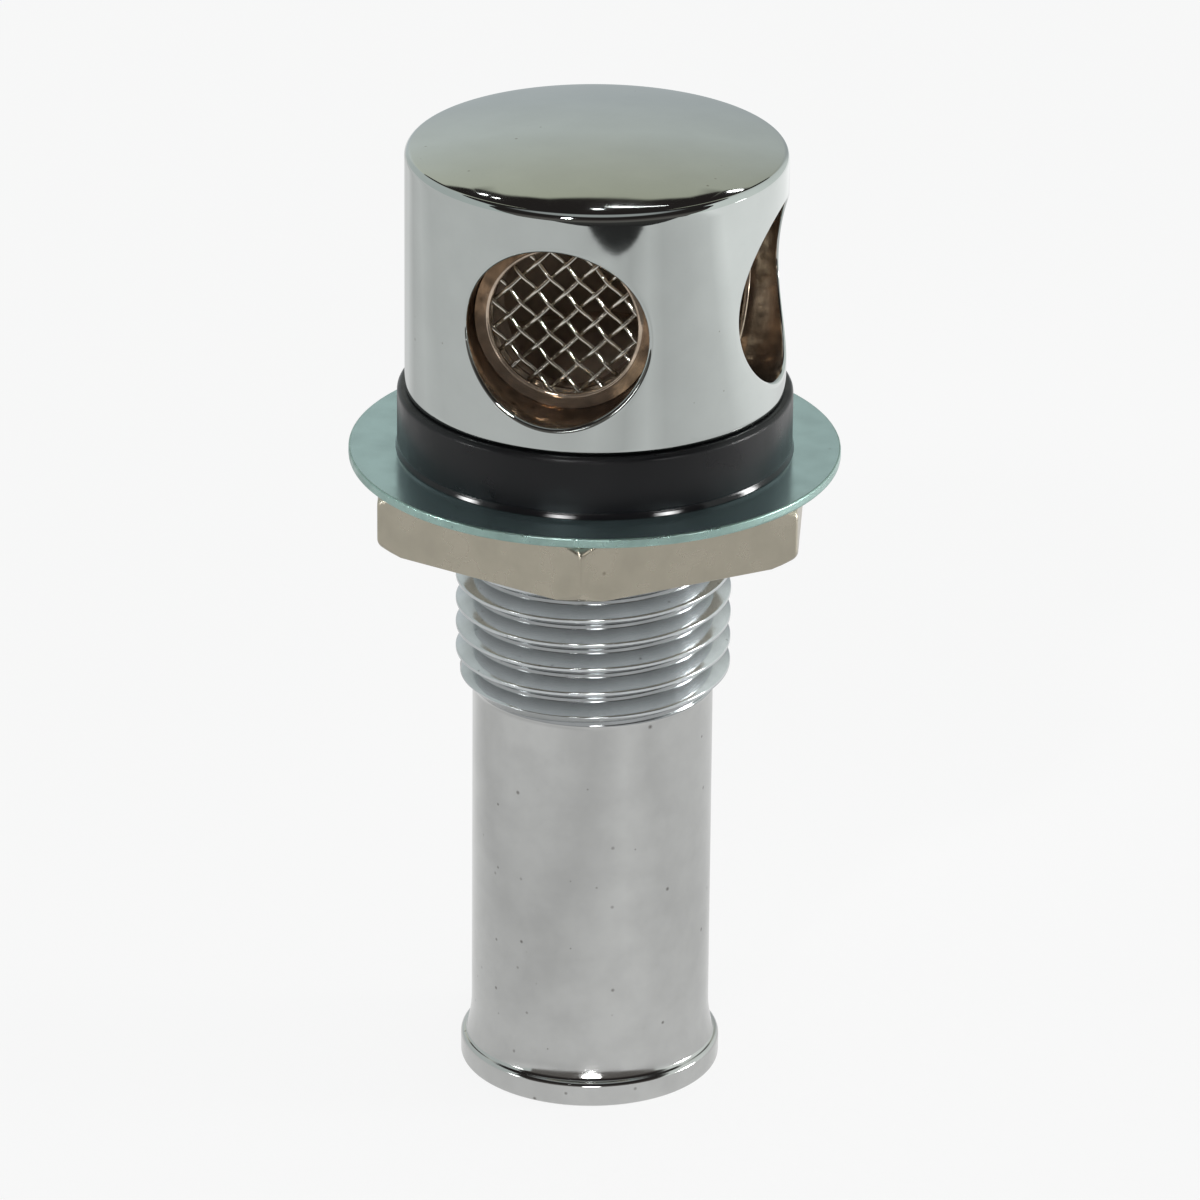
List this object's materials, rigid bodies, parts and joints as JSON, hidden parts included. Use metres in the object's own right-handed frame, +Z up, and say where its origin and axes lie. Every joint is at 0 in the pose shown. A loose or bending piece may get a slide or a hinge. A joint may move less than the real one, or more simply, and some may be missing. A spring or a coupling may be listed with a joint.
{
  "type": "tank breather vent",
  "caption": "Straight chromed tank vent: a round head with two gauze-screened side ports over a threaded stem with gasket, washer and hex nut, ending in a beaded hose tail.",
  "frame": {"origin": "on the vent's axis in the plane of the gasket's underside, where the fitting seats on its panel", "axes": "+Z up the vent's axis from the hose tail to the crown; the two port axes lie along -Y and +X"},
  "size_m": [0.0338, 0.0338, 0.0689],
  "materials": {
    "head_chrome": "polished chrome plate, slightly hazed",
    "stem_chrome": "polished chrome plate with a few small pits",
    "gasket_rubber": "black moulded rubber",
    "washer_zinc": "bright zinc plate with a blue cast",
    "nut_nickel": "satin nickel plate over brass",
    "rim_bronze": "dulled bronze",
    "gauze_wire": "bright woven wire"
  },
  "bodies": {
    "vent": {"head": "head_chrome", "shank": "stem_chrome", "gasket": "gasket_rubber", "screen_rim_1": "rim_bronze", "screen_rim_2": "rim_bronze", "gauze_1": "gauze_wire", "gauze_2": "gauze_wire"},
    "washer": {"washer": "washer_zinc"},
    "nut": {"nut": "nut_nickel"}
  },
  "joints": [
    {"name": "washer_slide", "type": "slide", "parent": "vent", "child": "washer", "axis": [0, 0, -1], "range_m": [0, 0.01089]},
    {"name": "nut_turn", "type": "hinge", "parent": "washer", "child": "nut", "pos_m": [0, 0, -0.0029], "axis": [0, 0, -1], "range_deg": [0, 2160]}
  ],
  "couplings": [
    {"joint": "washer_slide", "follows": "nut_turn", "m_per_rad": 0.00028871}
  ]
}
